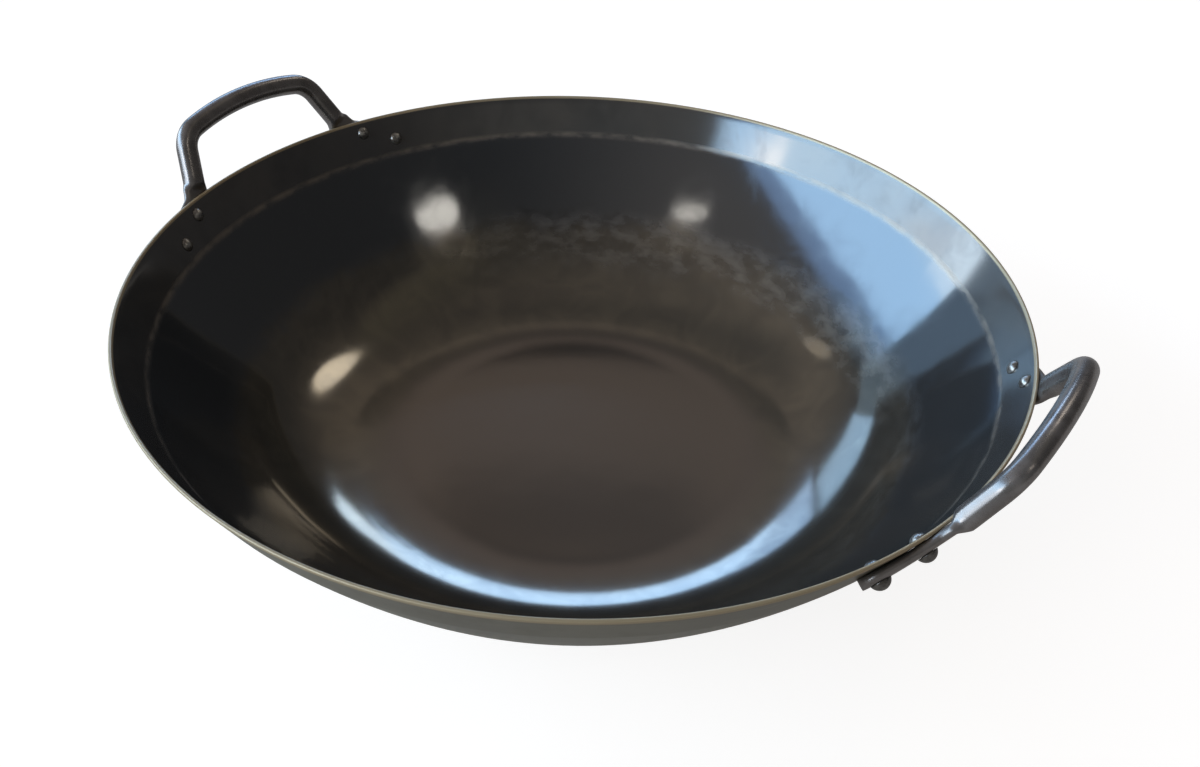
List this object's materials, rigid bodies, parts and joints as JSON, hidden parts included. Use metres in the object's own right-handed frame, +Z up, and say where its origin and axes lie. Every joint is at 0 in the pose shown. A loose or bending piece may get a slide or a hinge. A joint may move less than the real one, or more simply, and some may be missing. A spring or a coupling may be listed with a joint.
{
  "type": "frying pan",
  "caption": "Round iron pan with a flat floor, sloping wall, steeper rim band and a bent bar handle riveted to each side.",
  "frame": {"origin": "centre of the flat base, where it meets the table", "axes": "+X through both handles towards the right-hand one of the picture, +Y away from the front, +Z up out of the bowl"},
  "size_m": [0.4286, 0.393, 0.1263],
  "materials": {
    "bowl_iron": "oiled, blued and seasoned, satin with a soft sheen",
    "bar_iron": "smooth round bar with a dark gunmetal sheen",
    "rivet_iron": "rubbed dark iron heads"
  },
  "bodies": {
    "root": {"pan_body": "bowl_iron", "right_handle": "bar_iron", "left_handle": "bar_iron", "rivet_right_front_upper": "rivet_iron", "rivet_right_front_lower": "rivet_iron", "rivet_right_back_upper": "rivet_iron", "rivet_right_back_lower": "rivet_iron", "rivet_left_front_upper": "rivet_iron", "rivet_left_front_lower": "rivet_iron", "rivet_left_back_upper": "rivet_iron", "rivet_left_back_lower": "rivet_iron"}
  },
  "joints": []
}
